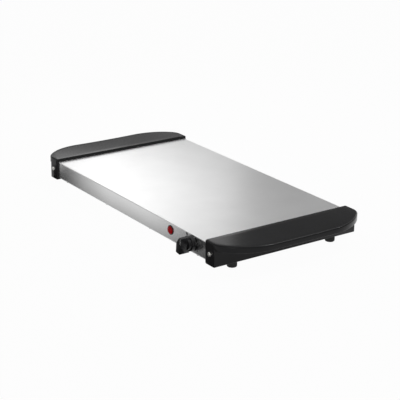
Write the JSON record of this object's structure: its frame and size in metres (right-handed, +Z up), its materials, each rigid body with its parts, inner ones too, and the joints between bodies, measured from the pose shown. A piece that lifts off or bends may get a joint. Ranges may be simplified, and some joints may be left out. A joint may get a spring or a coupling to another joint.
{
  "type": "electric food warmer tray",
  "caption": "Flat electric warming tray: a brushed steel plate with folded skirts, held at each end by a dark moulded grip, with a turning heat knob and a red pilot light.",
  "frame": {"origin": "centre of the heating surface, on its top face", "axes": "+X along the tray towards the handle beside the control knob, +Y to the rear, away from the knob, +Z up out of the heating surface"},
  "size_m": [0.656, 0.3386, 0.0538],
  "materials": {
    "brushed_stainless": null,
    "galvanised_steel": null,
    "black_moulding": "semi-gloss heat resistant moulding",
    "knob_black": "gloss heat resistant moulding",
    "black_rubber": "matte",
    "nickel_plated": "bright nickel plate on steel",
    "spreader_aluminium": "mill finish",
    "element_sheath": "dull heat-tinted steel tube",
    "white_ceramic": "unglazed steatite",
    "fibre_blanket": "needled glass fibre felt",
    "brass_parts": "plain brass",
    "bimetal_strip": null,
    "red_lens": "translucent red, polished",
    "neon_glass": "clear",
    "brown_lead": "silicone insulation",
    "black_lead": "silicone insulation",
    "blue_lead": "silicone insulation",
    "green_lead": "silicone insulation, green with a yellow cast",
    "pale_lead": "silicone insulation"
  },
  "bodies": {
    "tray": {"warming_plate": "brushed_stainless", "base_pan": "galvanised_steel", "left_end_bracket": "galvanised_steel", "right_end_bracket": "galvanised_steel", "left_handle": "black_moulding", "right_handle": "black_moulding", "front_left_foot": "black_rubber", "rear_left_foot": "black_rubber", "front_right_foot": "black_rubber", "rear_right_foot": "black_rubber", "handle_screws": "nickel_plated", "foot_screws": "nickel_plated", "base_screws": "nickel_plated", "heat_spreader": "spreader_aluminium", "heating_element": "element_sheath", "element_bushes": "white_ceramic", "element_pins": "nickel_plated", "clamp_studs": "galvanised_steel", "element_clamps": "galvanised_steel", "clamp_nuts": "nickel_plated", "insulation_blanket": "fibre_blanket", "heat_shield": "galvanised_steel", "thermostat_bracket": "galvanised_steel", "shaft_bushing": "brass_parts", "bushing_nut": "nickel_plated", "stack_rings": "white_ceramic", "stack_rivet": "nickel_plated", "bimetal_blade": "bimetal_strip", "leaf_terminal": "brass_parts", "pilot_lens": "red_lens", "pilot_gasket": "black_rubber", "pilot_nut": "black_moulding", "pilot_bulb": "neon_glass", "pilot_plug": "black_moulding", "cord_gland": "black_moulding", "gland_nut": "black_moulding", "terminal_block": "white_ceramic", "terminal_inserts": "brass_parts", "terminal_screws": "nickel_plated", "block_screws": "nickel_plated", "thermal_fuse": "nickel_plated", "fuse_clip": "galvanised_steel", "earth_stud": "nickel_plated", "earth_nut": "brass_parts", "live_lead": "brown_lead", "switched_lead": "black_lead", "fuse_lead": "black_lead", "neutral_lead": "blue_lead", "earth_lead": "green_lead", "lamp_leads": "pale_lead", "lead_tabs": "brass_parts"},
    "control_knob": {"knob": "knob_black", "control_shaft": "nickel_plated", "knob_clip": "nickel_plated"},
    "push_pin": {"push_pin": "white_ceramic"},
    "contact_leaf": {"contact_leaf": "brass_parts"}
  },
  "joints": [
    {"name": "knob_turn", "type": "hinge", "parent": "tray", "child": "control_knob", "pos_m": [0.2114, -0.15, -0.015], "axis": [0, 1, 0], "range_deg": [-62, 118]},
    {"name": "push_pin_slide", "type": "slide", "parent": "tray", "child": "push_pin", "axis": [0, 1, 0], "range_m": [-0.00018, 0.00034]},
    {"name": "contact_leaf_rock", "type": "hinge", "parent": "tray", "child": "contact_leaf", "pos_m": [0.1914, -0.13725, -0.015], "axis": [0, 0, 1], "range_deg": [-0.53, 0.98]}
  ],
  "couplings": [
    {"joint": "push_pin_slide", "follows": "knob_turn", "m_per_rad": 0.00015915},
    {"joint": "contact_leaf_rock", "follows": "knob_turn", "ratio": 0.0079577}
  ]
}
